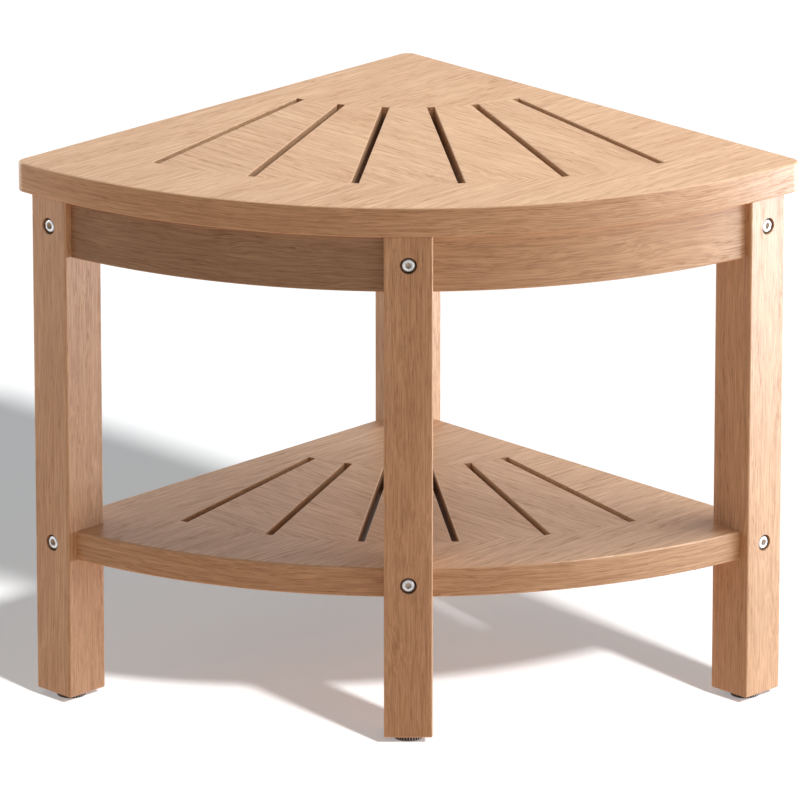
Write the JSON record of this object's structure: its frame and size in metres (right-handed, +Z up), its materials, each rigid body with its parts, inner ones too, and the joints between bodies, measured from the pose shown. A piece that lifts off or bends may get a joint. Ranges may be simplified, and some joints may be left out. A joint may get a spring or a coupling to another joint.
{
  "type": "corner shower bench",
  "caption": "Quarter-round wooden corner bench with a slotted seat, a slotted lower shelf, square legs, curved aprons and screw-in levelling feet.",
  "frame": {"origin": "on the floor under the middle of the seat's bounding box", "axes": "+Z up, -Y the way the curved front faces, +Y into the room corner, +X along the bench's width"},
  "size_m": [0.6378, 0.4528, 0.46],
  "materials": {
    "seat_board_wood": "satin oiled hardwood, fine straight grain",
    "seat_slat_wood": "satin oiled hardwood, fine straight grain",
    "shelf_board_wood": "satin oiled hardwood, fine straight grain",
    "shelf_slat_wood": "satin oiled hardwood, fine straight grain",
    "leg_wood": "satin oiled hardwood, grain along the leg",
    "apron_wood": "satin oiled hardwood, grain along the curve",
    "rail_wood": "satin oiled hardwood, grain along the rail",
    "dowel_wood": "pale plain hardwood",
    "bolt_steel": "satin stainless steel",
    "nut_steel": "satin stainless steel",
    "screw_steel": "satin stainless steel",
    "insert_steel": "satin stainless steel",
    "stud_steel": "satin stainless steel",
    "foot_plastic": "matt black plastic"
  },
  "bodies": {
    "bench": {"seat_surround": "seat_board_wood", "seat_slat_1": "seat_slat_wood", "seat_slat_2": "seat_slat_wood", "seat_slat_3": "seat_slat_wood", "seat_slat_4": "seat_slat_wood", "seat_slat_5": "seat_slat_wood", "shelf_surround": "shelf_board_wood", "shelf_slat_1": "shelf_slat_wood", "shelf_slat_2": "shelf_slat_wood", "shelf_slat_3": "shelf_slat_wood", "shelf_slat_4": "shelf_slat_wood", "shelf_slat_5": "shelf_slat_wood", "leg_left": "leg_wood", "leg_right": "leg_wood", "leg_front": "leg_wood", "leg_back": "leg_wood", "apron_left": "apron_wood", "apron_right": "apron_wood", "rear_rail_left": "rail_wood", "rear_rail_right": "rail_wood", "centre_rail": "rail_wood", "bolt_left_upper": "bolt_steel", "bolt_left_lower": "bolt_steel", "bolt_right_upper": "bolt_steel", "bolt_right_lower": "bolt_steel", "bolt_front_upper": "bolt_steel", "bolt_front_lower": "bolt_steel", "bolt_back_upper_left": "bolt_steel", "bolt_back_upper_right": "bolt_steel", "bolt_back_lower": "bolt_steel", "barrel_nuts": "nut_steel", "rail_dowels": "dowel_wood", "seat_screws": "screw_steel", "foot_insert_left": "insert_steel", "foot_insert_right": "insert_steel", "foot_insert_front": "insert_steel", "foot_insert_back": "insert_steel"},
    "foot_screw_left": {"foot_stud_left": "stud_steel"},
    "foot_disc_left": {"foot_base_left": "foot_plastic"},
    "foot_screw_right": {"foot_stud_right": "stud_steel"},
    "foot_disc_right": {"foot_base_right": "foot_plastic"},
    "foot_screw_front": {"foot_stud_front": "stud_steel"},
    "foot_disc_front": {"foot_base_front": "foot_plastic"},
    "foot_screw_back": {"foot_stud_back": "stud_steel"},
    "foot_disc_back": {"foot_base_back": "foot_plastic"}
  },
  "joints": [
    {"name": "foot_height_left", "type": "slide", "parent": "bench", "child": "foot_screw_left", "axis": [0, 0, -1], "range_m": [0, 0.008]},
    {"name": "foot_turn_left", "type": "hinge", "parent": "foot_screw_left", "child": "foot_disc_left", "pos_m": [-0.28011, -0.10186, 0], "axis": [0, 0, 1], "range_deg": [0, 2304]},
    {"name": "foot_height_right", "type": "slide", "parent": "bench", "child": "foot_screw_right", "axis": [0, 0, -1], "range_m": [0, 0.008]},
    {"name": "foot_turn_right", "type": "hinge", "parent": "foot_screw_right", "child": "foot_disc_right", "pos_m": [0.28011, -0.10186, 0], "axis": [0, 0, 1], "range_deg": [0, 2304]},
    {"name": "foot_height_front", "type": "slide", "parent": "bench", "child": "foot_screw_front", "axis": [0, 0, -1], "range_m": [0, 0.008]},
    {"name": "foot_turn_front", "type": "hinge", "parent": "foot_screw_front", "child": "foot_disc_front", "pos_m": [0, -0.20569, 0], "axis": [0, 0, 1], "range_deg": [0, 2304]},
    {"name": "foot_height_back", "type": "slide", "parent": "bench", "child": "foot_screw_back", "axis": [0, 0, -1], "range_m": [0, 0.008]},
    {"name": "foot_turn_back", "type": "hinge", "parent": "foot_screw_back", "child": "foot_disc_back", "pos_m": [0, 0.17824, 0], "axis": [0, 0, 1], "range_deg": [0, 2304]}
  ],
  "couplings": [
    {"joint": "foot_height_left", "follows": "foot_turn_left", "m_per_rad": 0.00019894},
    {"joint": "foot_height_right", "follows": "foot_turn_right", "m_per_rad": 0.00019894},
    {"joint": "foot_height_front", "follows": "foot_turn_front", "m_per_rad": 0.00019894},
    {"joint": "foot_height_back", "follows": "foot_turn_back", "m_per_rad": 0.00019894}
  ]
}
